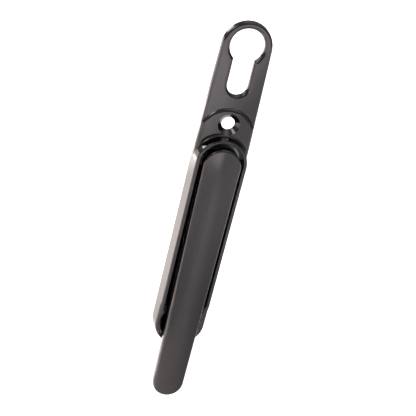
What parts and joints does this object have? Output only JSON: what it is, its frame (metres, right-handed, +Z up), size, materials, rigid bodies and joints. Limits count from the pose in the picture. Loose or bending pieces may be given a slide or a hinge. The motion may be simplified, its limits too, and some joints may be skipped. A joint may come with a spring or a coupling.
{
  "type": "bi-fold door handle",
  "caption": "Slim backplate door handle with a euro-profile cylinder cut-out and a long lever that folds out of a raised tray to turn a square spindle.",
  "frame": {"origin": "spindle axis where it meets the door face, which is the back of the housing", "axes": "+Z up the door, from the lever's tail towards the cylinder cut-out; +Y into the door, so the front faces -Y; +X to the right seen from the front"},
  "size_m": [0.0284, 0.0152, 0.2086],
  "materials": {
    "smoked_chrome": "polished smoked chrome plating on a zinc die casting",
    "plated_steel": "turned steel, bright zinc plated",
    "spring_steel": "oiled spring steel",
    "acetal": "moulded natural acetal",
    "buffer_rubber": "moulded black rubber"
  },
  "bodies": {
    "housing": {"housing": "smoked_chrome", "rotor_bush": "acetal", "lever_buffer": "buffer_rubber"},
    "rotor": {"rotor": "plated_steel", "wave_washer": "spring_steel", "circlip": "spring_steel", "return_spring_left": "spring_steel", "return_spring_right": "spring_steel"},
    "lever": {"lever": "smoked_chrome", "hinge_pin": "plated_steel"}
  },
  "joints": [
    {"name": "spindle_turn", "type": "hinge", "parent": "housing", "child": "rotor", "pos_m": [0, 0, 0], "axis": [0, 1, 0], "range_deg": [-1.2, 1.2]},
    {"name": "lever_fold", "type": "hinge", "parent": "rotor", "child": "lever", "pos_m": [0, -0.0074, 0.0027], "axis": [-1, 0, 0], "range_deg": [0, 45], "stiffness_Nm_per_rad": 0.09, "springref_deg": -28.65, "deforming": ["return_spring_left", "return_spring_right"]}
  ]
}
